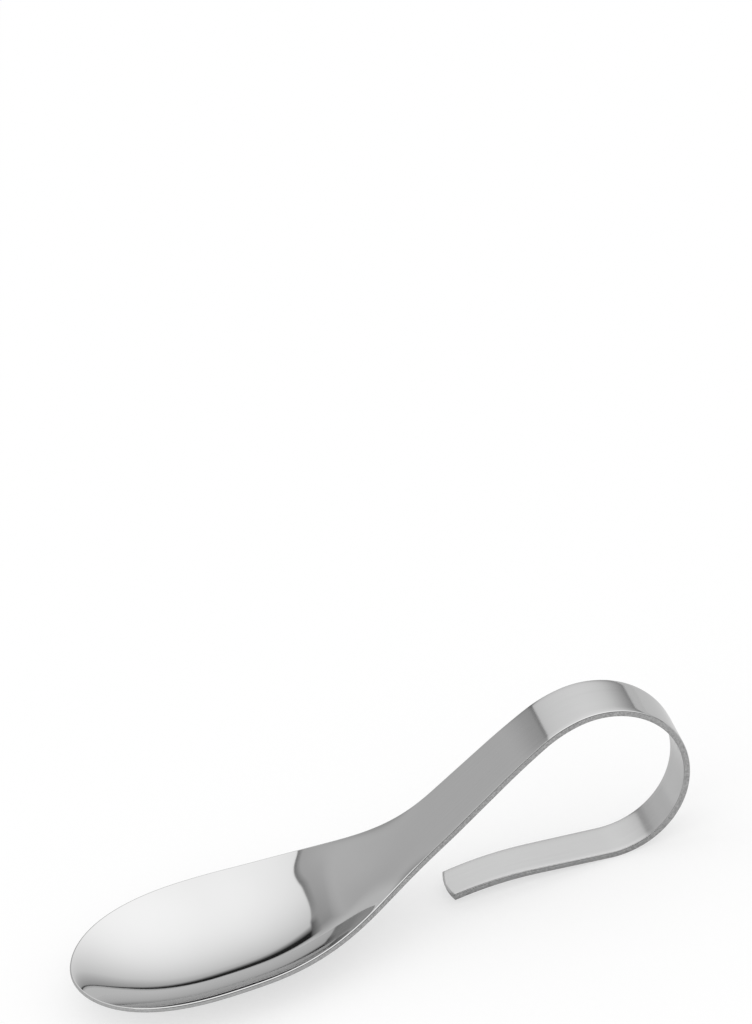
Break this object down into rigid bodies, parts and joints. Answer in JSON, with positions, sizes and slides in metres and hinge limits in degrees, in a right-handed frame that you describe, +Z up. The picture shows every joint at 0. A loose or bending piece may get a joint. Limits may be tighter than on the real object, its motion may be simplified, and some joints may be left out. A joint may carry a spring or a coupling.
{
  "type": "tasting spoon",
  "caption": "Tasting spoon of polished steel: a shallow oval bowl on a strip handle that rises, curls over into a finger loop and ends in a short tail above the table.",
  "frame": {"origin": "on the table, under the middle of the overall length and width", "axes": "+X from the tip of the bowl to the finger loop, +Y across the spoon, +Z up out of the bowl"},
  "size_m": [0.1306, 0.0418, 0.036],
  "materials": {
    "steel": "stainless steel, mirror polished in the bowl and finely polished along the handle"
  },
  "bodies": {
    "root": {"spoon": "steel"}
  },
  "joints": []
}
